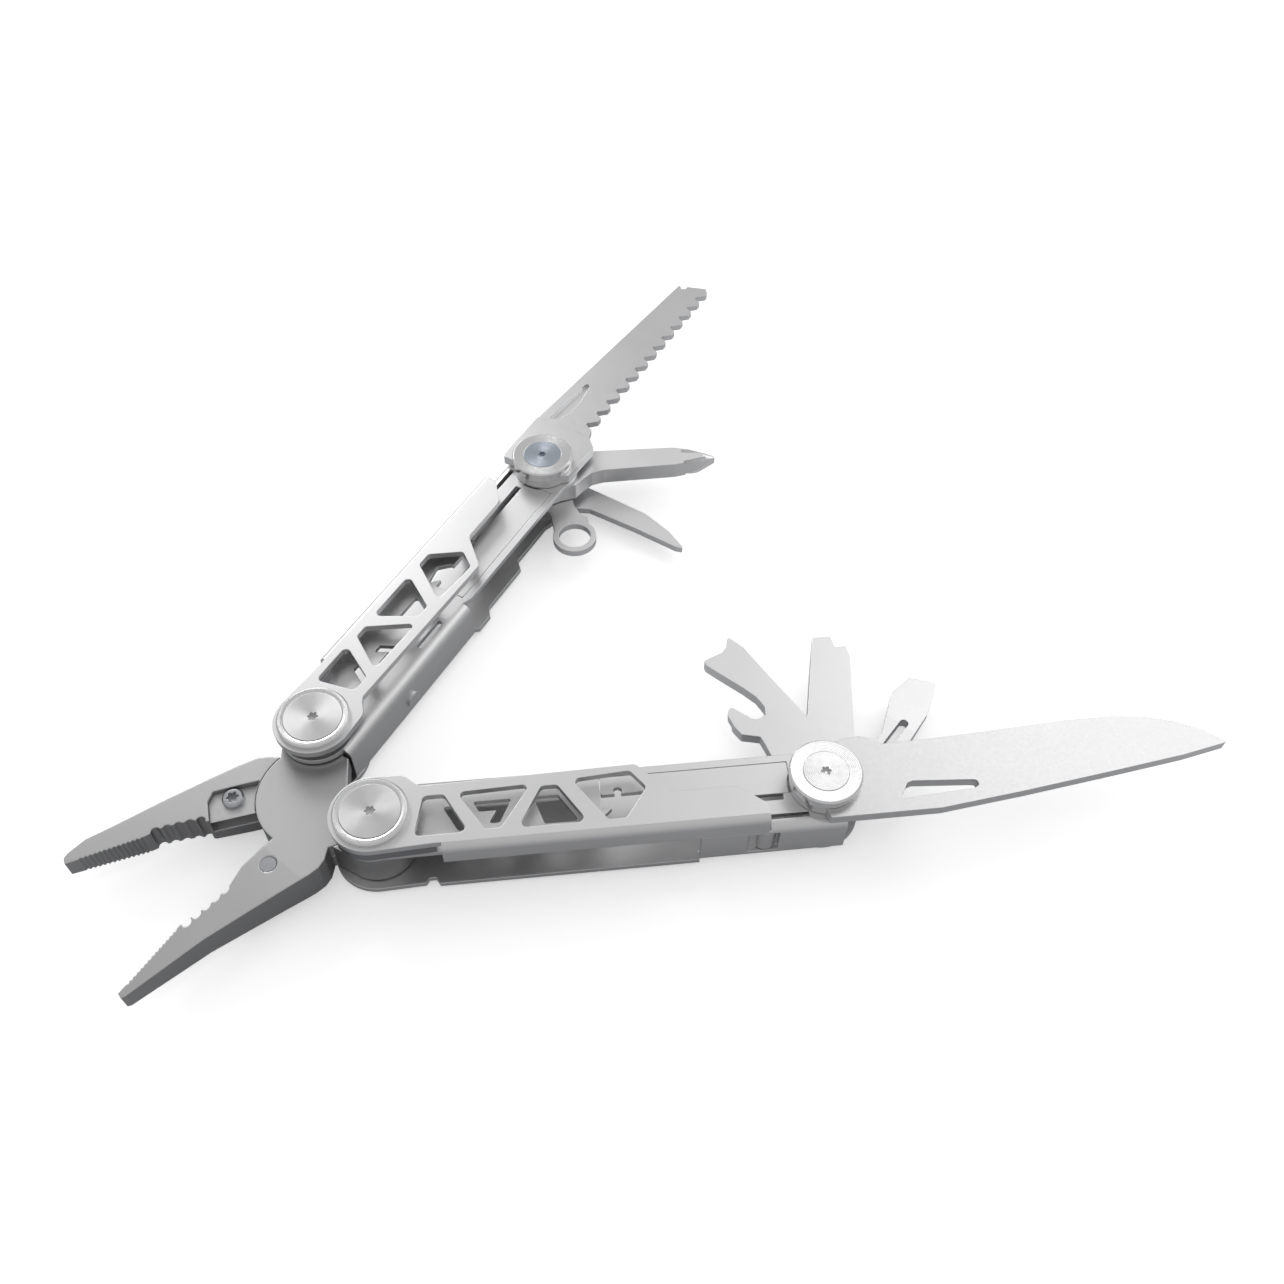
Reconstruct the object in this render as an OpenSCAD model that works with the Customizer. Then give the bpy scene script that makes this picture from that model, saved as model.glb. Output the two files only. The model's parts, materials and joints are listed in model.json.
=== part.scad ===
// Folding multi tool: spring-less pliers between two channel handles, each handle holding
// one long outer blade and three inner tools. Shown with everything opened out.

/* [Pliers] */
// Angle between the two jaws
jaw_open = 36; // [24:1:44]
// Length of a jaw from the pliers pivot to its tip
jaw_length = 50.7; // [46:0.1:56]
// Thickness of the pliers
pliers_thick = 7.8; // [6.5:0.1:9.4]
// Radius of the lapped round boss
boss_r = 12.6; // [12:0.1:13.4]
// Distance from the pliers pivot to a handle pivot
arm = 14.5; // [14.3:0.1:17.4]
// Angle of that arm behind the jaws' centre line
arm_angle = 48; // [46:1:54]
// Radius of the pliers pivot pin
pliers_pin_r = 4; // [3.3:0.1:4.8]

/* [Handles] */
// Distance between a handle's two pivots
handle_span = 90; // [75:1:108]
// Half of a handle's width
half_w = 9.2; // [9:0.1:11]
// Thickness of the channel's sheet
sheet = 1.2; // [1:0.1:1.4]
// Thickness of the pierced cover
cover_t = 1.5; // [1.2:0.1:1.8]
// Height of the slot that holds the outer blade
blade_slot = 2.5; // [2:0.1:3]
// Angle that each opened handle stands out past straight
handle_flare = 9.6; // [4:0.1:14]

/* [Pivots] */
// Radius of the bolt that joins a handle to the pliers
pliers_bolt_r = 3; // [2.4:0.1:3.6]
// Radius of the bolt that the tools turn on
tool_bolt_r = 2.5; // [2:0.1:3]
// Radius of the round heads
head_r = 7.46; // [7.2:0.02:7.8]
// Thickness of the round heads
head_t = 1.1; // [0.9:0.1:1.4]
// Radius of the bolt head in the middle of each round head at the pliers
pliers_bolt_head_r = 6; // [5:0.1:6.4]
// Radius of the bolt head in the middle of each round head at the tools
tool_bolt_head_r = 4.6; // [4.2:0.1:5]

/* [Tools] */
// How far the outer blades stop short of the pliers pivot when folded
blade_room = 4.7; // [4.5:0.1:8]
// Length of the cross-head driver from its pivot
cross_driver_length = 45; // [38:0.5:46]
// Length of the awl from its pivot
awl_length = 40; // [36:0.5:46]
// Distance from its pivot to the middle of the lanyard ring
ring_reach = 18.9; // [17:0.1:24]
// Length of the can and cap opener from its pivot
opener_length = 42.5; // [38:0.5:44]
// Length of the chisel from its pivot
chisel_length = 42.2; // [36:0.5:46]
// Length of the small driver from its pivot
flat_driver_length = 43; // [38:0.5:46]

/* [Fits] */
// Radial clearance of a running fit
running = 0.05; // [0.02:0.01:0.1]
// Clearance beside the pliers in the channel, and between flat pieces that slide
side_play = 0.4; // [0.3:0.05:0.5]
// Clearance above and below each inner tool
tool_play = 0.2; // [0.15:0.01:0.25]
// Clearance above and below an outer blade
blade_play = 0.1; // [0.08:0.01:0.15]

/* [Hidden] */
$fn = 72;
steel = [0.78, 0.78, 0.79];
dark_steel = [0.55, 0.56, 0.58];
bright_steel = [0.88, 0.88, 0.89];

// heights, from the surface that the tool lies on
floor_z = head_t;
room_z = floor_z + sheet;
room_h = pliers_thick + 2 * side_play;
liner_z = room_z + room_h;
slot_z = liner_z + sheet;
cover_z = slot_z + blade_slot;
top_z = cover_z + cover_t;
total_h = top_z + head_t;
pliers_z = room_z + side_play;
lap_gap = 0.1;
lap_t = (pliers_thick - lap_gap) / 2;
big = 60;

// places in plan, with the pliers pivot at the middle and the jaws to the left
heading = 35.2;
upper_dir = 180 + heading + jaw_open / 2;
lower_dir = 180 + heading - jaw_open / 2;
function turned(p, a) = [p[0] * cos(a) - p[1] * sin(a), p[0] * sin(a) + p[1] * cos(a)];
saw_pivot = turned([-arm * cos(arm_angle), -arm * sin(arm_angle)], upper_dir);
knife_pivot = turned([-arm * cos(arm_angle), arm * sin(arm_angle)], lower_dir);
saw_dir = upper_dir - 180 + handle_flare;
knife_dir = lower_dir - 180 - handle_flare;
blade_length = handle_span - blade_room;
saw_corner = [blade_length - 2.8, 4.6];
tip_v = 3.2;
saw_far = saw_pivot + turned([handle_span + saw_corner[0], saw_corner[1]], saw_dir);
knife_far = knife_pivot + turned([handle_span + blade_length, 0], knife_dir);
upper_jaw_far = turned([jaw_length, tip_v], upper_dir);
lower_jaw_far = turned([jaw_length - 1, 0.5], lower_dir);
middle = [(knife_far[0] + lower_jaw_far[0]) / 2, (saw_far[1] + upper_jaw_far[1]) / 2];

module in_frame() {
  translate([-middle[0], -middle[1], 0]) children();
}

module at_upper_half() {
  in_frame() rotate(upper_dir) children();
}

module at_lower_half() {
  in_frame() rotate(lower_dir) children();
}

// a handle's own frame: x from the pliers pivot to the tool pivot, y towards the outside
module at_handle(saw) {
  in_frame()
    if (saw) translate(saw_pivot) rotate(saw_dir) children();
    else translate(knife_pivot) rotate(knife_dir) mirror([0, 1, 0]) children();
}

// a tool's own frame: x from the tool pivot along the tool
module at_tool(saw, angle) {
  at_handle(saw) translate([handle_span, 0, 0]) rotate(angle) children();
}

module soft_poly(points, r) {
  offset(r = r, $fn = 24) offset(delta = -r) polygon(points);
}

module slab(z, h) {
  translate([0, 0, z]) linear_extrude(h) children();
}

module bore(x, y, r) {
  translate([x, y, -1]) cylinder(r = r, h = total_h + 2);
}

// ---------- pliers ----------

boss_clear = 0.15;
tang_r = 7.4;
parting_start = [35.4, 0.4];
parting_end = [jaw_length, 1.9];
bay_end = 24.8;
cutter_start = 13.4;
cutter_end = 21.8;
insert_v = 6.3;
screw_u = 16.9;
screw_v = 4.0;
screw_r = 1.55;
pocket_deep = pliers_thick * 0.6;
insert_sink = 1.3;
insert_t = pocket_deep - insert_sink;
screw_head_t = 1.1;
coarse_pitch = 2.2;
fine_pitch = 0.9;
tip_taper = 3;
taper_start = 15;

// plan of a half, with its jaw on the side of positive y and its tang on the other
module jaw_plan(inner) {
  polygon(concat([[0, 0], [cutter_start, inner], [20.4, inner], [bay_end, inner + 1.3],
                  [29, inner + 1.2], parting_start, parting_end],
                 [[jaw_length + 0.2, 2.9], [jaw_length - 0.4, tip_v + 0.1], [34.5, 6.1],
                  [19.9, 10.1], [13.6, 11.9], [11.4, 12.2], [9.4, 11.8], [7.2, 10.4], [0, 11.5]]));
}

module lower_jaw_plan() {
  polygon([[0, 0], [cutter_start, 0.3], [22, 0.3], [25, -0.9], [31, -0.9], parting_start,
           [jaw_length - 1.2, 1.7], [jaw_length - 1, 0.4], [jaw_length - 1.8, -0.6], [45.6, -2.7],
           [40.4, -4.1], [30, -7.2], [21, -9.6], [15.4, -11], [11.4, -11.9], [9, -11.6], [6.6, -10.7],
           [0, -11.5]]);
}

module at_tang(side) {
  rotate(180 - side * arm_angle) scale([1, side]) children();
}

// the round boss and the arm to the handle pivot, side = 1 where the arm lies at positive y;
// the notch clears the end of the handle's inner web, the flat the other handle's
module boss_plan(side, cut) {
  difference() {
    union() {
      circle(r = boss_r, $fn = 96);
      at_tang(side) polygon([[0, -8.4], [arm, -tang_r + 0.03], [arm, tang_r - 0.03], [0, 8.4]]);
    }
    rotate(side * 45) translate([-cut - big, -big / 2]) square([big, big]);
    at_tang(side) translate([arm, 0]) polygon([[-5, 4.4], [-6.3, 4.95], [-7.3, 6.3], [-10.1, 13.5],
                                               [5.5, 13.5], [5.5, 4.4]]);
  }
  at_tang(side) translate([arm, 0]) circle(r = tang_r);
}

module tip_taper_cut() {
  for (top = [0, 1])
    translate([taper_start, 0, pliers_z + top * pliers_thick])
      rotate([0, (top == 1) ? tip_taper : -tip_taper, 0])
        translate([0, -big / 2, (top == 1) ? 0 : -big]) cube([big, big, big]);
}

// grooves across the gripping face, from u = from on, along the parting line
module grooves(from, count, pitch, r, v_at, slope) {
  for (i = [0:count - 1])
    translate([from + i * pitch, v_at + i * pitch * slope, 0])
      cylinder(r = r, h = total_h, $fn = 24);
}

parting_slope = (parting_end[1] - parting_start[1]) / (parting_end[0] - parting_start[0]);
fine_count = floor((jaw_length - 2.6 - parting_start[0]) / fine_pitch);

module insert_plan(gap) {
  difference() {
    soft_poly([[boss_r - 4, -0.3 - gap], [cutter_end + gap, -0.3 - gap], [cutter_end + gap, insert_v - 2 + gap],
               [cutter_end - 1.2 + gap, insert_v + gap], [boss_r - 4, insert_v + gap]], 0.3);
    circle(r = boss_r + 2 * boss_clear - gap, $fn = 96);
  }
}

module star_recess(r, z, deep) {
  translate([0, 0, z]) {
    cylinder(r = r * 0.62, h = deep, $fn = 48);
    for (i = [0:5]) rotate(i * 60) translate([r * 0.62, 0, 0]) cylinder(r = r * 0.24, h = deep, $fn = 24);
  }
}

module half_blank(upper) {
  intersection() {
    union() {
      slab(pliers_z, pliers_thick) children(0);
      slab(pliers_z, pliers_thick) children(1);
    }
    union() {
      difference() {
        cylinder(r = 2 * big, h = total_h);
        translate([0, 0, upper ? -1 : pliers_z + lap_t])
          cylinder(r = boss_r + boss_clear, h = upper ? pliers_z + lap_t + lap_gap + 1 : total_h, $fn = 96);
      }
      translate([0, 0, upper ? pliers_z + lap_t + lap_gap : 0])
        cylinder(r = boss_r + 2 * boss_clear, h = upper ? total_h : pliers_z + lap_t, $fn = 96);
    }
  }
}

module upper_half_body() {
  difference() {
    half_blank(true) {
      jaw_plan(0.4);
      boss_plan(-1, 5.5);
    }
    tip_taper_cut();
    grooves(bay_end + 0.6, 5, coarse_pitch, 0.95, 1.25, -0.05);
    grooves(parting_start[0] + 1.2, fine_count, fine_pitch, 0.33, parting_start[1] + 0.02, parting_slope);
    bore(-arm * cos(arm_angle), -arm * sin(arm_angle), pliers_bolt_r + running);
    translate([0, 0, -1]) cylinder(r = pliers_pin_r, h = 1 + pliers_z + pliers_thick - 1.2);
    slab(-1, 1 + pliers_z + pocket_deep) insert_plan(0.05);
    bore(screw_u, screw_v, screw_r);
    translate([screw_u, screw_v, pliers_z + pliers_thick - 0.35]) cylinder(r1 = screw_r, r2 = screw_r + 0.3, h = 0.36);
  }
}

module pliers_half_upper() {
  color(steel) at_upper_half() upper_half_body();
}

module pliers_half_lower() {
  color(steel) at_lower_half()
    difference() {
      half_blank(false) {
        lower_jaw_plan();
        boss_plan(1, 7);
      }
      tip_taper_cut();
      grooves(cutter_end + 1.6, 5, coarse_pitch, 0.95, -0.25, -0.02);
      grooves(parting_start[0] - 1.5, fine_count + 1, fine_pitch, 0.3, parting_start[1] - 0.15, parting_slope);
      bore(-arm * cos(arm_angle), arm * sin(arm_angle), pliers_bolt_r + running);
      bore(0, 0, pliers_pin_r + running);
      translate([0, 0, -1]) cylinder(r = pliers_pin_r + 2 + running, h = 1 + pliers_z + 1.3);
      slab(pliers_z + pliers_thick - pocket_deep, pocket_deep + 1) mirror([0, 1]) insert_plan(0.05);
      bore(screw_u, -screw_v, screw_r);
    }
}

module pliers_pivot_pin() {
  color(bright_steel) at_upper_half()
    difference() {
      union() {
        translate([0, 0, pliers_z]) cylinder(r = pliers_pin_r, h = pliers_thick - 1.2);
        translate([0, 0, pliers_z]) cylinder(r = pliers_pin_r + 2, h = 1.2);
      }
      star_recess(2.2, pliers_z - 1, 2.4);
    }
}

// a hard cutter block, bevelled towards its edge, held by one screw
module cutter_block() {
  difference() {
    slab(0, insert_t) insert_plan(0);
    translate([0, -0.3, insert_t]) rotate([35, 0, 0]) translate([-big / 2, -big, -big / 2 + 0])
      cube([big, big, big]);
    bore(screw_u, screw_v, screw_r);
  }
}

// shank from the far face of the jaw, button head on the insert
module cutter_fastener(shank, sunk) {
  head_z = pliers_thick - insert_sink;
  difference() {
    union() {
      translate([0, 0, sunk]) cylinder(r = screw_r, h = shank - sunk);
      translate([0, 0, head_z]) cylinder(r = 2.2, h = screw_head_t - 0.4);
      translate([0, 0, head_z + screw_head_t - 0.4]) cylinder(r1 = 2.2, r2 = 1.8, h = 0.4);
    }
    star_recess(1.5, head_z - 0.2, 2);
  }
}

module lower_cutter_insert() {
  color(steel) at_lower_half() mirror([0, 1, 0])
    translate([0, 0, pliers_z + pliers_thick - pocket_deep]) cutter_block();
}

module lower_cutter_screw() {
  color(bright_steel) at_lower_half() translate([screw_u, -screw_v, pliers_z])
    cutter_fastener(pliers_thick - insert_sink, 0);
}

module upper_cutter_insert() {
  color(steel) at_upper_half()
    translate([0, 0, pliers_z + pocket_deep]) mirror([0, 0, 1]) cutter_block();
}

module upper_cutter_screw() {
  color(bright_steel) at_upper_half()
    translate([screw_u, screw_v, pliers_z + pliers_thick]) mirror([0, 0, 1])
      cutter_fastener(pliers_thick - insert_sink, 0.2);
}

// ---------- handles ----------

bend_r = 2.2;
lip_bend_r = 1.8;
cover_gap = 0.15;
function along(x) = x * handle_span / 90;
end_r = half_w - 0.7;
inner_web_start = -1.2;
inner_web_end = along(43.5);
outer_web_start = along(64);
outer_web_end = handle_span + 3.5;
lip_start = along(13.5);
lip_end = along(77.5);
lip_inner = half_w - cover_t;
liner_edge = lip_inner - cover_gap;
slide_x = handle_span - 12.6;
slide_w = 4.4;
slide_travel = 1.5;

// the bent strip that joins the floor to the liner along one side
module web(x0, x1, top) {
  translate([x0, 0, 0]) rotate([90, 0, 90]) linear_extrude(x1 - x0)
    difference() {
      union() {
        translate([half_w - sheet, floor_z + bend_r]) square([sheet, top - floor_z - 2 * bend_r]);
        translate([half_w - bend_r, floor_z + bend_r]) intersection() {
          circle(r = bend_r);
          translate([0, -bend_r]) square([bend_r, bend_r]);
        }
        translate([half_w - bend_r, top - bend_r]) intersection() {
          circle(r = bend_r);
          square([bend_r, bend_r]);
        }
      }
      translate([half_w - bend_r, floor_z + bend_r]) circle(r = bend_r - sheet);
      translate([half_w - bend_r, top - bend_r]) circle(r = bend_r - sheet);
    }
}

// straight web that stands on the floor's bend and stops under the cover's lip
module low_web(x0, x1) {
  intersection() {
    web(x0, x1, slot_z + 8);
    translate([x0, 0, 0]) cube([x1 - x0, half_w + 1, liner_z]);
  }
}

module floor_plan() {
  difference() {
    union() {
      circle(r = half_w);
      polygon([[0, half_w - bend_r], [0, -half_w + bend_r], [inner_web_start, -half_w + bend_r],
               [inner_web_end, -half_w + bend_r], [inner_web_end, -half_w + bend_r],
               [inner_web_end + 2, -half_w], [along(50), -half_w], [along(52), -half_w + 1.6],
               [along(66), -half_w + 1.6], [along(68), -half_w + 3.6], [handle_span - 9, -half_w + 3.6],
               [handle_span, -end_r], [handle_span, end_r],
               [handle_span + 3.5, half_w - bend_r], [outer_web_start, half_w - bend_r],
               [outer_web_start - 0.01, half_w], [along(11.8), half_w], [along(11), half_w - 1.4],
               [along(9.6), half_w - 1.4], [along(9), half_w - 0.4], [0, half_w]]);
      translate([handle_span, 0]) circle(r = end_r);
      translate([handle_span, half_w - bend_r - 4]) square([3.5, 4]);
    }
  }
}

module liner_plan() {
  difference() {
    union() {
      circle(r = liner_edge);
      polygon([[0, liner_edge], [0, -liner_edge], [inner_web_start, -half_w + bend_r],
               [inner_web_end, -half_w + bend_r], [inner_web_end + 2, -half_w + bend_r - 0.8],
               [handle_span - 4, -half_w + bend_r - 0.8], [handle_span, -end_r],
               [handle_span, end_r], [handle_span + 3.5, half_w - bend_r],
               [lip_end + 0.4, half_w - bend_r], [lip_end + 0.3, liner_edge]]);
      translate([handle_span, 0]) circle(r = end_r);
      translate([handle_span, half_w - bend_r - 4]) square([3.5, 4]);
    }
    // lightening cut-outs that face the cover's windows
    soft_poly([[along(13.4), -2.4], [along(15.4), -2.4], [along(18.6), 3.2], [along(16.4), 3.2]], 0.5);
    soft_poly([[along(22.4), 2.2], [along(24.6), 2.2], [along(27.2), -3], [along(19.4), -3], [along(20.6), -0.6],
               [along(24), -0.6]], 0.4);
    soft_poly([[along(33.4), 3.4], [along(40.4), 3.4], [along(36.4), -3], [along(31.4), -3]], 0.6);
    soft_poly([[along(28), -5], [along(37), -5], [along(36.4), -6.4], [along(28.4), -6.4]], 0.4);
    soft_poly([[along(44.6), 3.4], [along(49.8), 4.4], [along(52.6), 1.6], [along(49), -0.6]], 0.6);
    // bed of the lock spring, and the slot beside it
    translate([lock_start - lock_gap, lock_low - lock_gap])
      square([lock_end - lock_start + 2 * lock_gap, lock_high - lock_low + 2 * lock_gap]);
    translate([along(61), lock_high - 0.2]) square([handle_span - 8.4 - along(61), 1.7]);
    translate([handle_span - 12, half_w - 3.3]) square([8, 1.3]);
  }
}

lock_gap = 0.12;
lock_start = along(45);
lock_end = handle_span - 6.5;
lock_low = -6;
lock_high = 1.2;

module pivot_bores() {
  bore(0, 0, pliers_bolt_r + running);
  bore(handle_span, 0, tool_bolt_r + running);
}

module channel() {
  difference() {
    union() {
      slab(floor_z, sheet) floor_plan();
      slab(liner_z, sheet) liner_plan();
      mirror([0, 1, 0]) web(inner_web_start, inner_web_end, slot_z);
      low_web(outer_web_start, lip_end + 0.4);
      web(lip_end + 0.4, outer_web_end, slot_z);
      // half-sheared stop on the inner web
      translate([along(19.7), -half_w + 0.3, floor_z + 4.4]) rotate([90, 0, 0]) intersection() {
        cylinder(r = 2, h = 0.8);
        translate([-2, -0.4, 0]) cube([4, 3, 1]);
      }
    }
    pivot_bores();
    // window of the release slide
    translate([slide_x - slide_w / 2 - slide_travel - 0.25, half_w - sheet - 1, floor_z + bend_r + 0.4])
      cube([slide_w + slide_travel + 0.5, sheet + 2, liner_z - floor_z - bend_r - 1]);
  }
}

module cover_plan() {
  difference() {
    union() {
      circle(r = 8.3);
      polygon([[0, 8.3], [along(12.3), 7.7], [lip_start, lip_inner], [lip_end, lip_inner],
               [along(77.2), 5.4], [along(76), 4.4], [along(72.4), 1.4], [along(71), 1], [along(59.4), 1],
               [along(58.4), 0.6], [along(52.6), -5.8], [along(51.8), -6.1], [along(9.6), -5.3],
               [along(8.6), -5.8], [6.6, -7.6], [5.6, -8.1], [0, -8.3]]);
    }
    soft_poly([[along(8.2), 5.9], [along(18.8), 5.9], [along(14.1), -2.9], [along(10), -2.9]], 1.1);
    soft_poly([[along(22), 5.6], [along(25), 5.6], [along(31.2), -3.6], [along(16.6), -3.1]], 0.9);
    soft_poly([[along(28.2), 6], [along(41.9), 6], [along(36.4), -2.9], [along(33.2), -2.9]], 1.1);
    soft_poly([[along(39.2), -3.9], [along(51), -4.7], [along(54), -0.6], [along(49.4), 5.9], [along(45.8), 5.9]], 1);
  }
}

module cover() {
  difference() {
    union() {
      slab(cover_z, cover_t) cover_plan();
      translate([lip_start, 0, 0]) rotate([90, 0, 90]) linear_extrude(lip_end - lip_start)
        difference() {
          union() {
            translate([lip_inner - 0.4, cover_z]) square([0.5, cover_t]);
            translate([lip_inner, liner_z]) square([cover_t, top_z - lip_bend_r - liner_z]);
            translate([half_w - lip_bend_r, top_z - lip_bend_r]) intersection() {
              circle(r = lip_bend_r);
              square([lip_bend_r, lip_bend_r]);
            }
          }
          translate([lip_inner - 2, liner_z - 1]) square([2, cover_z - liner_z + 1]);
        }
    }
    pivot_bores();
  }
}

spacer_ring_r = 4.6;

module spacer_plate() {
  difference() {
    slab(slot_z, blade_slot) {
      circle(r = spacer_ring_r);
      polygon(concat([for (a = [88:8:144]) 8.1 * [cos(a), sin(a)]],
                     [[-5.6, 2], [-2, 2], [-2, 5.3], [along(12.4), 5.6], [along(12.4), 7.5], [1, 8]]));
    }
    bore(0, 0, pliers_bolt_r + running);
  }
}

module lock_spring() {
  difference() {
    slab(liner_z, sheet) difference() {
      soft_poly([[lock_start, lock_low], [lock_end, lock_low], [lock_end, lock_high],
                 [along(60), lock_high], [along(56), -2], [lock_start, -2]], 0.4);
      translate([handle_span, 0]) circle(r = tang_back_r + 0.3);
    }
    translate([along(48.4), -2.6, 0]) cylinder(r = 0.9, h = total_h);
  }
}

tang_back_r = 7;

// leaf spring that pushes the release slide back, clamped against the outer web
module leaf_spring() {
  start = along(65);
  end = slide_x - 3.4 - slide_travel - 0.1;
  translate([start, half_w - sheet - 0.8, room_z + 1.1]) {
    cube([end - start, 0.4, room_h - 2.2]);
    cube([3.4, 0.8, room_h - 2.2]);
  }
}

// the slide's pad shows in the web's window; its tongue runs inside towards the tangs
module release_slide() {
  pad_low = floor_z + bend_r + 0.7;
  pad_high = liner_z - 0.9;
  intersection() {
    translate([slide_x, half_w - slide_w / 2 - 0.05, pad_low]) cylinder(r = slide_w / 2, h = pad_high - pad_low);
    translate([slide_x - slide_w, half_w - sheet - 0.5, 0]) cube([2 * slide_w, 5, total_h]);
  }
  translate([slide_x - 3.4, half_w - sheet - 0.55, room_z + 1.6])
    cube([handle_span - 8.6 - slide_x + 3.4, 0.45, room_h - 3.2]);
}

// ---------- pivots ----------

module round_head(z, h, hole) {
  edge = 0.35;
  translate([0, 0, z]) rotate_extrude($fn = 120)
    polygon([[hole, 0], [head_r, 0], [head_r, h - edge], [head_r - edge, h],
             [head_r - 0.9, h - 0.02], [hole, h - 0.14]]);
}

module pliers_bolt() {
  difference() {
    union() {
      translate([0, 0, 0.2]) cylinder(r = pliers_bolt_r, h = top_z - 0.2);
      translate([0, 0, top_z]) cylinder(r = pliers_bolt_head_r, h = head_t);
    }
    star_recess(1.3, total_h - 0.9, 2);
  }
}

module pliers_collar() {
  round_head(top_z, head_t, pliers_bolt_head_r + running);
}

// lower head, flat underneath, where the tool lies on it
module flat_head(hole) {
  edge = 0.35;
  rotate_extrude($fn = 120)
    polygon([[hole, 0], [head_r - edge, 0], [head_r, edge], [head_r, head_t], [hole, head_t]]);
}

module pliers_nut() {
  flat_head(pliers_bolt_r);
}

module tool_bolt() {
  difference() {
    union() {
      translate([0, 0, 0.2]) cylinder(r = tool_bolt_r, h = top_z - 0.2);
      translate([0, 0, top_z]) cylinder(r = tool_bolt_head_r, h = head_t);
    }
    star_recess(1.25, total_h - 0.9, 2);
  }
}

module tool_collar() {
  difference() {
    union() {
      translate([0, 0, cover_z]) cylinder(r = head_r - 0.25, h = cover_t, $fn = 120);
      round_head(top_z, head_t, tool_bolt_r);
    }
    translate([0, 0, -1]) cylinder(r = tool_bolt_r + running, h = total_h + 2);
    translate([0, 0, top_z]) cylinder(r = tool_bolt_head_r + running, h = head_t + 1);
  }
}

module tool_nut() {
  flat_head(tool_bolt_r);
}

// thin bearing washers between the tools, at the heights given
module washers(heights) {
  for (z = heights)
    translate([handle_span, 0, z]) difference() {
      cylinder(r = 4.4, h = tool_play);
      translate([0, 0, -1]) cylinder(r = tool_bolt_r + running, h = tool_play + 2);
    }
}

// ---------- tools ----------

// heights of the inner tools: three equal layers in the knife handle; in the saw handle
// the thick cross-head driver lies over two thin tools
layer_t = (room_h - 4 * tool_play) / 3;
function layer_z(i) = room_z + tool_play + i * (layer_t + tool_play);
thin_t = 1.7;
awl_z = room_z + tool_play;
ring_z = awl_z + thin_t + tool_play;
cross_z = ring_z + thin_t + tool_play;
cross_t = liner_z - tool_play - cross_z;
blade_z = slot_z + blade_play;
blade_t = blade_slot - 2 * blade_play;
tool_tang_r = 7;

module tool_hole() {
  bore(0, 0, tool_bolt_r + running);
}

module wood_saw() {
  edge = -4.2;
  pitch = 5.15;
  tooth_h = 2;
  ground = 0.35;
  teeth = floor((blade_length - 18) / pitch);
  color(steel) at_tool(true, 0) difference() {
    slab(blade_z, blade_t) difference() {
      union() {
        circle(r = tang_back_r);
        soft_poly([[-3, 9.6], [-1.6, 10], [13.5, 10], [saw_corner[0], saw_corner[1]],
                   [blade_length - 0.2, -2.9], [blade_length - 2, edge], [17, edge], [13.8, -5.2],
                   [10.6, -8.4], [-1, -8], [-3, -6]], 0.5);
      }
      // raked teeth
      for (i = [0:teeth - 1])
        translate([16.5 + i * pitch, edge]) polygon([[0, -0.1], [1.2, tooth_h], [1.9, tooth_h + 0.1],
                                                     [2.2, tooth_h - 0.4], [pitch - 1.3, -0.1]]);
      // notch in the squared tip
      translate([blade_length - 2.6, 3.1]) circle(r = 0.9);
    }
    // blade ground thinner than the tang
    for (z = [blade_z - 1, blade_z + blade_t - ground])
      translate([13.8, -big / 2, z]) cube([big * 2, big, 1 + ground]);
    // nail nick
    slab(blade_z + blade_t - 2 * ground - 0.45, 3) soft_poly([[14.6, 7.4], [30.2, 6.2], [32, 5.6], [31.4, 4.6],
      [29, 4.3], [25, 3.6], [20, 3.6], [16.6, 4.7]], 0.6);
    tool_hole();
  }
}

module knife_blade() {
  color(bright_steel) at_tool(false, 0) difference() {
    slab(blade_z, blade_t) difference() {
      union() {
        circle(r = tang_back_r);
        intersection() {
          soft_poly([[-1.2, 6], [-0.4, 9.1], [22, 9.1], [40, 6.9], [60, 4.1], [75, 1.9], [blade_length, -0.2],
                     [blade_length - 4, -3.6], [blade_length - 9, -6.2], [blade_length - 15, -8.0],
                     [blade_length - 22, -8.8], [53, -8.8], [40, -8], [25, -7.2], [13.4, -6.9], [11.4, -8.4],
                     [9.4, -9.2], [6, -9], [0, -7.2], [-3, -5]], 0.25);
          translate([-big, -big]) square(4 * big);
        }
      }
      // thumb hole
      soft_poly([[14.2, 6.3], [29.8, 5.3], [30.9, 4.6], [30.6, 3.5], [29.6, 3.3], [17.6, 2.4], [16.4, 2.8]], 0.5);
    }
    // hollow grind on both faces, down to the cutting edge
    for (top = [0, 1])
      translate([16, -8.6, blade_z + top * blade_t])
        rotate([(top == 1) ? grind_angle : -grind_angle, 0, 0])
          translate([0, -big, (top == 1) ? 0.35 : -big - 0.35]) cube([big * 2, big + 7, big]);
    tool_hole();
  }
}

grind_angle = 5;

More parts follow.
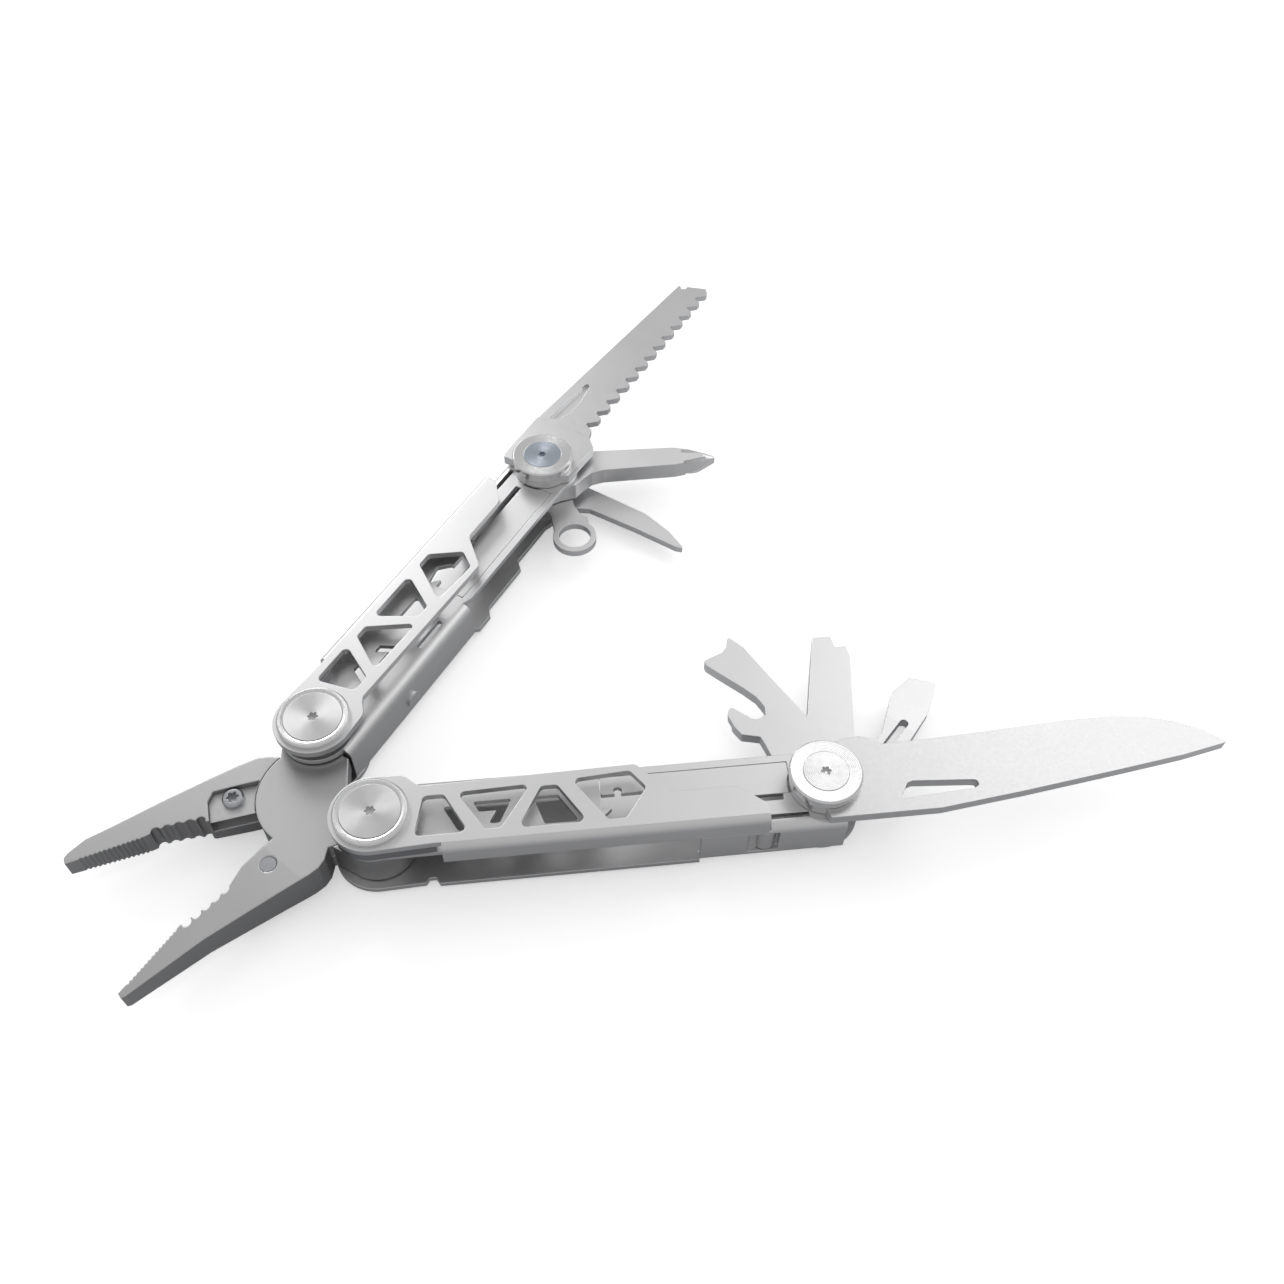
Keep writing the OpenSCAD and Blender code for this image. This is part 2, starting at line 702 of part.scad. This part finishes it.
module cross_head_driver() {
  tip = cross_driver_length;
  color(steel) at_tool(true, -52) difference() {
    intersection() {
      slab(cross_z, cross_t) difference() {
        union() {
          circle(r = tool_tang_r);
          soft_poly([[0, tool_tang_r - 0.2], [6, 6.9], [12.5, 6.2], [tip - 11, 4.5], [tip - 4, 2.2], [tip, 0.8],
                     [tip - 5, -0.9], [tip - 11.5, -1.7], [15, -1], [12, -1.6], [9.6, -3.4], [7.4, -5.4],
                     [0, -tool_tang_r + 0.2]], 0.4);
        }
      }
      // pointed towards the tip above and below
      union() {
        translate([-20, -big, 0]) cube([20 + tip - 12, 2 * big, total_h]);
        translate([tip - 12.01, 0.8, cross_z + cross_t / 2]) rotate([0, 90, 0])
          cylinder(r1 = 5.6, r2 = 0.5, h = 12.01);
      }
    }
    // flutes of the cross
    for (side = [-1, 1])
      translate([tip - 9, 0.8, cross_z + cross_t / 2]) rotate([0, -9, 0])
        for (a = [45, 135]) rotate([a * side, 0, 0]) translate([0, -0.4, 1.1]) cube([14, 0.8, 6]);
    tool_hole();
  }
}

module awl() {
  color(steel) at_tool(true, -91) difference() {
    slab(awl_z, thin_t) union() {
      circle(r = tool_tang_r);
      soft_poly([[0, tool_tang_r - 0.1], [10, 6.9], [awl_length - 14, 6.2], [awl_length - 6, 3.8], [awl_length, 0.7],
                 [awl_length - 2, 0.1], [awl_length - 14, 0.6], [13, 0.6], [9, -1.4], [5, -5.2], [0, -6.8]], 0.3);
    }
    tool_hole();
  }
}

module lanyard_ring() {
  color(steel) at_tool(true, -125.6) difference() {
    slab(ring_z, thin_t) {
      circle(r = tool_tang_r);
      translate([ring_reach, 0]) circle(r = 5.3);
      soft_poly([[0, 6], [6, 5], [9, 4.1], [ring_reach - 5.6, 4.3], [ring_reach - 4.3, 5.6],
                 [ring_reach - 3.2, 4.9], [ring_reach, 4.8], [ring_reach, -4.8], [ring_reach - 4.4, -3.6],
                 [9.6, -2.4], [6, -4], [0, -6]], 0.3);
    }
    translate([ring_reach, 0, -1]) cylinder(r = 3.9, h = total_h + 2);
    tool_hole();
  }
}

module can_opener() {
  reach = opener_length;
  color(steel) at_tool(false, -111.5) difference() {
    slab(layer_z(2), layer_t) {
      circle(r = tool_tang_r);
      difference() {
        soft_poly([[0, 6.9], [8, 7.6], [17, 6.8], [29.2, 5.4], [reach - 4, 4.5], [reach, 3.0], [reach - 0.4, 2.2],
                   [reach - 2.2, 0.8], [reach - 3, -0.7], [reach - 3.2, -5.2], [reach - 4.4, -5.4],
                   [reach - 7.2, -4.2], [29, -1.3], [25.5, 0], [22.6, 0.2], [20.8, -0.6], [20.6, -2.4],
                   [22.6, -4.6], [25.6, -6.2], [25.4, -7.2], [24, -8], [21.2, -8.2], [18.7, -7.8], [16.4, -4.6],
                   [14.5, -4.7], [8, -5.4], [0, -6.9]], 0.35);
        translate([22.4, -2.4]) circle(r = 1.9);
      }
    }
    // thinned cutting beak
    translate([22, -12, layer_z(2) - 1]) cube([8, 6.5, 1.8]);
    tool_hole();
  }
}

module chisel() {
  reach = chisel_length;
  color(steel) at_tool(false, -75.3) difference() {
    slab(layer_z(1), layer_t) {
      circle(r = tool_tang_r);
      soft_poly([[0, 6.9], [8, 7.2], [16.9, 6.4], [reach - 4.8, 4.8], [reach - 2.2, 3.7], [reach - 2.8, 1.3],
                 [reach, 0.2], [reach - 1, -3.9], [20.3, -3.7], [12, -4.6], [5, -6.4], [0, -6.8]], 0.4);
    }
    // bevelled scraping end
    translate([reach - 6, -big / 2, layer_z(1)]) rotate([0, -17, 0])
      translate([0, 0, -6]) cube([20, big, 6]);
    tool_hole();
  }
}

module flat_driver() {
  reach = flat_driver_length;
  color(steel) at_tool(false, -43.9) difference() {
    slab(layer_z(0), layer_t) difference() {
      union() {
        circle(r = tool_tang_r);
        soft_poly([[0, 6.9], [8, 7], [26, 6.5], [reach - 8.8, 5.7], [reach - 3.2, 4], [reach + 0.1, 2.6],
                   [reach - 2.4, -2.8], [reach - 9, -3.4], [23.4, 0.8], [16, 1.0], [9, -2.2], [0, -6.8]], 0.4);
      }
      // long slot of the wire stripper
      hull() {
        translate([16, 3.6]) circle(r = 0.95, $fn = 32);
        translate([28.6, 3.1]) circle(r = 0.95, $fn = 32);
      }
    }
    // blade thinned towards the tip on both faces
    for (top = [0, 1])
      translate([reach - 15, -big / 2, layer_z(0) + top * layer_t])
        rotate([0, (top == 1) ? 3.4 : -3.4, 0]) translate([0, 0, (top == 1) ? 0 : -6]) cube([20, big, 6]);
    tool_hole();
  }
}

// ---------- the two handles' pieces ----------

saw_washers = [room_z, ring_z - tool_play, cross_z - tool_play, liner_z - tool_play];
knife_washers = [for (i = [0:3]) room_z + i * (layer_t + tool_play)];

module saw_handle_channel() { color(steel) at_handle(true) channel(); }
module saw_handle_cover() { color(steel) at_handle(true) cover(); }
module saw_handle_spacer() { color(dark_steel) at_handle(true) spacer_plate(); }
module saw_handle_lock_spring() { color(steel) at_handle(true) lock_spring(); }
module saw_handle_leaf_spring() { color(dark_steel) at_handle(true) leaf_spring(); }
module saw_handle_release_slide() { color(steel) at_handle(true) release_slide(); }
module saw_handle_pliers_bolt() { color(bright_steel) at_handle(true) pliers_bolt(); }
module saw_handle_pliers_collar() { color(bright_steel) at_handle(true) pliers_collar(); }
module saw_handle_pliers_nut() { color(bright_steel) at_handle(true) pliers_nut(); }
module saw_handle_tool_bolt() { color(bright_steel) at_tool(true, 0) tool_bolt(); }
module saw_handle_tool_collar() { color(bright_steel) at_tool(true, 0) tool_collar(); }
module saw_handle_tool_nut() { color(bright_steel) at_tool(true, 0) tool_nut(); }
module saw_handle_washers() { color(bright_steel) at_handle(true) washers(saw_washers); }

module knife_handle_channel() { color(steel) at_handle(false) channel(); }
module knife_handle_cover() { color(steel) at_handle(false) cover(); }
module knife_handle_spacer() { color(dark_steel) at_handle(false) spacer_plate(); }
module knife_handle_lock_spring() { color(steel) at_handle(false) lock_spring(); }
module knife_handle_leaf_spring() { color(dark_steel) at_handle(false) leaf_spring(); }
module knife_handle_release_slide() { color(steel) at_handle(false) release_slide(); }
module knife_handle_pliers_bolt() { color(bright_steel) at_handle(false) pliers_bolt(); }
module knife_handle_pliers_collar() { color(bright_steel) at_handle(false) pliers_collar(); }
module knife_handle_pliers_nut() { color(bright_steel) at_handle(false) pliers_nut(); }
module knife_handle_tool_bolt() { color(bright_steel) at_tool(false, 0) tool_bolt(); }
module knife_handle_tool_collar() { color(bright_steel) at_tool(false, 0) tool_collar(); }
module knife_handle_tool_nut() { color(bright_steel) at_tool(false, 0) tool_nut(); }
module knife_handle_washers() { color(bright_steel) at_handle(false) washers(knife_washers); }

pliers_half_upper();
pliers_half_lower();
pliers_pivot_pin();
upper_cutter_insert();
upper_cutter_screw();
lower_cutter_insert();
lower_cutter_screw();
saw_handle_channel();
saw_handle_cover();
saw_handle_spacer();
saw_handle_lock_spring();
saw_handle_leaf_spring();
saw_handle_release_slide();
saw_handle_pliers_bolt();
saw_handle_pliers_collar();
saw_handle_pliers_nut();
saw_handle_tool_bolt();
saw_handle_tool_collar();
saw_handle_tool_nut();
saw_handle_washers();
wood_saw();
cross_head_driver();
awl();
lanyard_ring();
knife_handle_channel();
knife_handle_cover();
knife_handle_spacer();
knife_handle_lock_spring();
knife_handle_leaf_spring();
knife_handle_release_slide();
knife_handle_pliers_bolt();
knife_handle_pliers_collar();
knife_handle_pliers_nut();
knife_handle_tool_bolt();
knife_handle_tool_collar();
knife_handle_tool_nut();
knife_handle_washers();
knife_blade();
can_opener();
chisel();
flat_driver();
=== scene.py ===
import json
import math

import bpy
from mathutils import Matrix, Vector

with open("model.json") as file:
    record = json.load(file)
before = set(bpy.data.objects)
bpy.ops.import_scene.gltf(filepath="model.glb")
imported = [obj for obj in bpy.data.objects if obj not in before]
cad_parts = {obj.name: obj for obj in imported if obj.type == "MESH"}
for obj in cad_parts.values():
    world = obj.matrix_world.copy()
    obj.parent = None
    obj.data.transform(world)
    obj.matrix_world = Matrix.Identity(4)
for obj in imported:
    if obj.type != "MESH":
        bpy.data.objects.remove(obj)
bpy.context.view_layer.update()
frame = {"nodes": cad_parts, "record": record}

# ---------------------------------------------------------------------------------------
# The two halves of the pliers, each with its jaw, its lap of the round boss and its arm.
# They are forged stainless steel, and the flats are bead-blasted. Painted shade darkens
# the sides. They turn on each other round a flush pin.
# ---------------------------------------------------------------------------------------

# the Mix node has several sockets of one name, so those for colour go by number
mix_first, mix_second, mix_result = 6, 7, 2


def noise(tree, place, scale, detail):
    """A noise texture that reads the given coordinates."""
    texture = tree.nodes.new("ShaderNodeTexNoise")
    texture.inputs["Scale"].default_value = scale
    texture.inputs["Detail"].default_value = detail
    tree.links.new(place, texture.inputs["Vector"])
    return texture


def remap(tree, value, start, end, at_start, at_end):
    """The value, moved from the range start..end to the range at_start..at_end."""
    node = tree.nodes.new("ShaderNodeMapRange")
    node.inputs["From Min"].default_value = start
    node.inputs["From Max"].default_value = end
    node.inputs["To Min"].default_value = at_start
    node.inputs["To Max"].default_value = at_end
    tree.links.new(value, node.inputs["Value"])
    return node.outputs["Result"]


def vector_maths(tree, operation, first):
    """A vector maths node whose first input is linked."""
    node = tree.nodes.new("ShaderNodeVectorMath")
    node.operation = operation
    tree.links.new(first, node.inputs[0])
    return node


def lathe_marks(tree, place, middle, shader, bump):
    """Rings round the middle, and the wedge-shaped glints that they give."""
    ring_scale, ring_waviness, ring_detail, glint = 900, 1.2, 2, 0.75
    offset = vector_maths(tree, "SUBTRACT", place)
    offset.inputs[1].default_value = middle
    rings = tree.nodes.new("ShaderNodeTexWave")
    rings.wave_type = "RINGS"
    rings.rings_direction = "Z"
    rings.inputs["Scale"].default_value = ring_scale
    rings.inputs["Distortion"].default_value = ring_waviness
    rings.inputs["Detail"].default_value = ring_detail
    tree.links.new(offset.outputs["Vector"], rings.inputs["Vector"])
    tree.links.new(rings.outputs["Fac"], bump.inputs["Height"])
    around = vector_maths(tree, "CROSS_PRODUCT", offset.outputs["Vector"])
    around.inputs[1].default_value = (0, 0, 1)
    tree.links.new(around.outputs["Vector"], shader.inputs["Tangent"])
    shader.inputs["Anisotropic"].default_value = glint


def metal(name, tint, rough, grain_size, grain_depth, mottling, edge, wear,
          turned_about=None, painted_side_shade=1.0):
    """Steel with a fine grain in its roughness and bump, soft edges and brighter worn edges.
    grain_depth is in millimetres, and edge, the radius of the soft edges, is in metres.
    turned_about is the middle of a piece that was faced on a lathe: its marks run round it.
    The last argument paints shade on the sides of a piece, darker than its blasted flats."""
    material = bpy.data.materials.new(name)
    material.use_nodes = True
    tree = material.node_tree
    nodes, links = tree.nodes, tree.links
    shader = nodes["Principled BSDF"]
    shader.inputs["Metallic"].default_value = 1.0
    place = nodes.new("ShaderNodeTexCoord").outputs["Object"]

    grain_detail, grain_roughness = 4, 0.65
    fine = noise(tree, place, grain_size, grain_detail)
    fine.inputs["Roughness"].default_value = grain_roughness
    blotch_scale, blotch_detail = 35, 3
    broad = noise(tree, place, blotch_scale, blotch_detail)

    # rounded edges in the shading, and how far the rounding turns the surface away
    soft = nodes.new("ShaderNodeBevel")
    soft.samples = 6
    soft.inputs["Radius"].default_value = edge
    facing = vector_maths(tree, "DOT_PRODUCT", soft.outputs["Normal"])
    links.new(nodes.new("ShaderNodeNewGeometry").outputs["Normal"], facing.inputs[1])
    untouched, fully_worn = 0.995, 0.85
    worn = remap(tree, facing.outputs["Value"], untouched, fully_worn, 0.0, wear)

    # the colour is mottled, and lighter on the worn edges
    blotch_start, blotch_end = 0.3, 0.7
    shade = nodes.new("ShaderNodeValToRGB")
    dark, light = shade.color_ramp.elements
    dark.position, light.position = blotch_start, blotch_end
    dark.color = [c * (1 - mottling) for c in tint] + [1]
    light.color = [min(1, c * (1 + mottling)) for c in tint] + [1]
    links.new(broad.outputs["Fac"], shade.inputs["Fac"])
    worn_bright = (0.95, 0.95, 0.95, 1)
    lighter = nodes.new("ShaderNodeMix")
    lighter.data_type = "RGBA"
    lighter.inputs[mix_second].default_value = worn_bright
    links.new(worn, lighter.inputs[0])
    links.new(shade.outputs["Color"], lighter.inputs[mix_first])

    # painted shade: the sides, the faces whose normal lies well away from upright, are darkened
    upright = nodes.new("ShaderNodeSeparateXYZ")
    links.new(soft.outputs["Normal"], upright.inputs["Vector"])
    flatness = nodes.new("ShaderNodeMath")
    flatness.operation = "ABSOLUTE"
    links.new(upright.outputs["Z"], flatness.inputs[0])
    all_side, all_flat = 0.35, 0.85
    side = remap(tree, flatness.outputs["Value"], all_side, all_flat, painted_side_shade, 1.0)
    shaded = vector_maths(tree, "SCALE", lighter.outputs[mix_result])
    links.new(side, shaded.inputs["Scale"])
    links.new(shaded.outputs["Vector"], shader.inputs["Base Color"])

    # the grain, in the roughness and in a slight bump
    grain_low, grain_high, swing = 0.25, 0.75, 0.06
    sheen = remap(tree, fine.outputs["Fac"], grain_low, grain_high, rough - swing, rough + swing)
    links.new(sheen, shader.inputs["Roughness"])
    bump_strength, millimetre = 0.5, 0.001
    bump = nodes.new("ShaderNodeBump")
    bump.inputs["Strength"].default_value = bump_strength
    bump.inputs["Distance"].default_value = millimetre * grain_depth
    links.new(soft.outputs["Normal"], bump.inputs["Normal"])
    links.new(bump.outputs["Normal"], shader.inputs["Normal"])
    if turned_about:
        lathe_marks(tree, place, turned_about, shader, bump)
    else:
        links.new(fine.outputs["Fac"], bump.inputs["Height"])
    return material


def made_of(material, *pieces):
    """Gives the named pieces their metal."""
    for piece in pieces:
        for slot in frame["nodes"][piece].material_slots:
            slot.material = material


# the sides of the pliers halves get strong painted shade against their flats
forged_steel = metal("blasted forged steel", (0.52, 0.52, 0.525), rough=0.44, grain_size=2200,
                     grain_depth=0.03, mottling=0.05, edge=0.0004, wear=0.25, painted_side_shade=0.6)
made_of(forged_steel, "pliers_half_upper", "pliers_half_lower")

# ---------------------------------------------------------------------------------------
# The pliers' pin, the two wire-cutter inserts and the screws that hold them. The inserts
# are hardened steel, ground and set into the halves. Pin and screws are plain bolt steel.
# ---------------------------------------------------------------------------------------

bolt_steel = metal("bolt steel", (0.45, 0.46, 0.48), rough=0.30, grain_size=1200,
                   grain_depth=0.02, mottling=0.05, edge=0.00015, wear=0.4)
made_of(bolt_steel, "pliers_pivot_pin", "lower_cutter_screw", "upper_cutter_screw")

cutter_steel = metal("cutter steel", (0.55, 0.55, 0.555), rough=0.36, grain_size=1400,
                     grain_depth=0.02, mottling=0.05, edge=0.0002, wear=0.45)
made_of(cutter_steel, "lower_cutter_insert", "upper_cutter_insert")

# ---------------------------------------------------------------------------------------
# The two handles: a channel bent from sheet, a pierced cover over it, the blade's lock
# spring and its release slide. All are stamped stainless sheet, blasted after bending.
# ---------------------------------------------------------------------------------------

# the sides of the sheet pieces get a little painted shade against their flats
sheet_steel = metal("blasted sheet steel", (0.70, 0.70, 0.705), rough=0.42, grain_size=2600,
                    grain_depth=0.02, mottling=0.03, edge=0.00022, wear=0.3, painted_side_shade=0.85)
for handle in ("saw_handle", "knife_handle"):
    made_of(sheet_steel, handle + "_channel", handle + "_cover",
            handle + "_lock_spring", handle + "_release_slide")

# ---------------------------------------------------------------------------------------
# Inside the handles: the leaf springs behind the slides and the spacers under the covers.
# They are darker than the sheet, as spring steel is when it is left as it was hardened.
# ---------------------------------------------------------------------------------------

spring_steel = metal("spring steel", (0.26, 0.26, 0.275), rough=0.38, grain_size=1500,
                     grain_depth=0.02, mottling=0.06, edge=0.00015, wear=0.3)
for handle in ("saw_handle", "knife_handle"):
    made_of(spring_steel, handle + "_leaf_spring", handle + "_spacer")

# ---------------------------------------------------------------------------------------
# The four pivots: a bolt through the handle, with a round collar above and a nut below,
# and thin washers between the inner tools. The heads are turned, and those at the tools
# are polished. One of them, at the saw, is bluer than the rest.
# ---------------------------------------------------------------------------------------

joint_at = {joint["name"]: joint["pos_m"] for joint in frame["record"]["behaviour"]["joints"]}
pivots = {
    "saw_handle_pliers": joint_at["saw_handle_fold"],
    "knife_handle_pliers": joint_at["knife_handle_fold"],
    "saw_handle_tool": joint_at["saw_fold"],
    "knife_handle_tool": joint_at["knife_fold"],
}
plain_head, blue_head = (0.70, 0.70, 0.705), (0.46, 0.50, 0.56)
for pivot, middle in pivots.items():
    polished = pivot.endswith("tool")
    collar_steel = metal("turned collar " + pivot, (0.74, 0.74, 0.745),
                         rough=0.18 if polished else 0.30, grain_size=900, grain_depth=0.006,
                         mottling=0.03, edge=0.00015, wear=0.5, turned_about=middle)
    made_of(collar_steel, pivot + "_collar", pivot + "_nut")
    head_steel = metal("turned head " + pivot,
                       blue_head if pivot == "saw_handle_tool" else plain_head,
                       rough=0.22 if polished else 0.34, grain_size=900, grain_depth=0.006,
                       mottling=0.03, edge=0.00015, wear=0.4, turned_about=middle)
    made_of(head_steel, pivot + "_bolt")
made_of(bolt_steel, "saw_handle_washers", "knife_handle_washers")

# ---------------------------------------------------------------------------------------
# The two outer blades, the wood saw and the plain knife. Both are ground on their faces
# and edges, and turn on the tool bolts outside the channel.
# ---------------------------------------------------------------------------------------

saw_steel = metal("ground saw steel", (0.66, 0.66, 0.665), rough=0.34, grain_size=1500,
                  grain_depth=0.01, mottling=0.04, edge=0.00015, wear=0.4)
made_of(saw_steel, "wood_saw")

knife_steel = metal("ground knife steel", (0.60, 0.60, 0.605), rough=0.33, grain_size=1600,
                    grain_depth=0.006, mottling=0.02, edge=0.00012, wear=0.5)
made_of(knife_steel, "knife_blade")

# ---------------------------------------------------------------------------------------
# The inner tools, three to a handle, fanned out on the same bolts as the outer blades.
# They are blanked from plate and tumbled to a satin finish.
# ---------------------------------------------------------------------------------------

tool_steel = metal("satin tool steel", (0.70, 0.70, 0.705), rough=0.40, grain_size=1800,
                   grain_depth=0.02, mottling=0.04, edge=0.0002, wear=0.4)
made_of(tool_steel, "cross_head_driver", "awl", "lanyard_ring",
        "can_opener", "chisel", "flat_driver")

# ---------------------------------------------------------------------------------------
# The studio floor: a wide sheet of white paper, just below the tool. It keeps the soft
# shadow. It looks a little brighter to the camera than it lights the metal, and darker in
# the metal's reflections, as a small sheet in a large room does.
# ---------------------------------------------------------------------------------------

paper_white, paper_in_metal = (0.93, 0.93, 0.93, 1), (0.62, 0.625, 0.64, 1)
paper_roughness, paper_lift, paper_size, paper_drop = 0.9, 0.42, 6, 0.0002

bpy.ops.mesh.primitive_plane_add(size=paper_size, location=(0, 0, -paper_drop))
paper = bpy.context.object
paper.name = "paper"
white = bpy.data.materials.new("white paper")
white.use_nodes = True
paper.data.materials.append(white)
paper_nodes, paper_links = white.node_tree.nodes, white.node_tree.links
paper_shader = paper_nodes["Principled BSDF"]
paper_shader.inputs["Roughness"].default_value = paper_roughness
paper_shader.inputs["Emission Color"].default_value = (1, 1, 1, 1)
ray = paper_nodes.new("ShaderNodeLightPath")
lift = paper_nodes.new("ShaderNodeMath")
lift.operation = "MULTIPLY"
lift.inputs[1].default_value = paper_lift
paper_links.new(ray.outputs["Is Camera Ray"], lift.inputs[0])
paper_links.new(lift.outputs["Value"], paper_shader.inputs["Emission Strength"])
in_metal = paper_nodes.new("ShaderNodeMix")
in_metal.data_type = "RGBA"
in_metal.inputs[mix_first].default_value = paper_white
in_metal.inputs[mix_second].default_value = paper_in_metal
paper_links.new(ray.outputs["Is Glossy Ray"], in_metal.inputs[0])
paper_links.new(in_metal.outputs[mix_result], paper_shader.inputs["Base Color"])

# ---------------------------------------------------------------------------------------
# The studio light: a plain white room, and two soft boxes above and behind the tool. The
# key is to the left, and a larger, weaker one to the right brightens that side.
# ---------------------------------------------------------------------------------------

room_light, room_seen = 0.6, 1.0

world = bpy.data.worlds.new("studio")
bpy.context.scene.world = world
world.use_nodes = True
sky = world.node_tree
sky.nodes["Background"].inputs["Color"].default_value = (1, 1, 1, 1)
seen = sky.nodes.new("ShaderNodeLightPath").outputs["Is Camera Ray"]
sky.links.new(remap(sky, seen, 0.0, 1.0, room_light, room_seen),
              sky.nodes["Background"].inputs["Strength"])


def soft_light(name, place, target, width, height, power):
    """A rectangular soft box that faces its target."""
    light = bpy.data.lights.new(name, "AREA")
    light.shape = "RECTANGLE"
    light.size, light.size_y, light.energy = width, height, power
    lamp = bpy.data.objects.new(name, light)
    bpy.context.collection.objects.link(lamp)
    lamp.location = place
    lamp.rotation_euler = (Vector(target) - Vector(place)).to_track_quat("-Z", "Y").to_euler()


soft_light("key", place=(-0.35, 0.55, 0.34), target=(0, 0, 0),
           width=0.35, height=0.3, power=1.7)
soft_light("bright side", place=(0.42, 0.36, 0.50), target=(0.06, -0.04, 0),
           width=0.6, height=0.6, power=1.25)

# ---------------------------------------------------------------------------------------
# The camera stands in front, a little under 0.3 m away, and looks down at about 52
# degrees. It is rolled by a degree and a half, as one held in the hand is.
# ---------------------------------------------------------------------------------------

pitch, roll = math.radians(51.637), math.radians(1.565)
forward = Vector((0, math.cos(pitch), -math.sin(pitch)))
right = Vector((1, 0, 0))
up = Vector((0, math.sin(pitch), math.cos(pitch)))
image_right = math.cos(roll) * right + math.sin(roll) * up
image_up = -math.sin(roll) * right + math.cos(roll) * up
camera_place = Vector((-0.005243, -0.185668, 0.2168))
bpy.ops.object.camera_add()
camera = bpy.context.object
camera.matrix_world = Matrix((
    (image_right.x, image_up.x, -forward.x, camera_place.x),
    (image_right.y, image_up.y, -forward.y, camera_place.y),
    (image_right.z, image_up.z, -forward.z, camera_place.z),
    (0, 0, 0, 1)))
camera.data.lens = 33.02
camera.data.sensor_width = 36
camera.data.clip_start = 0.01
bpy.context.scene.camera = camera
bpy.context.scene.view_settings.view_transform = "Standard"
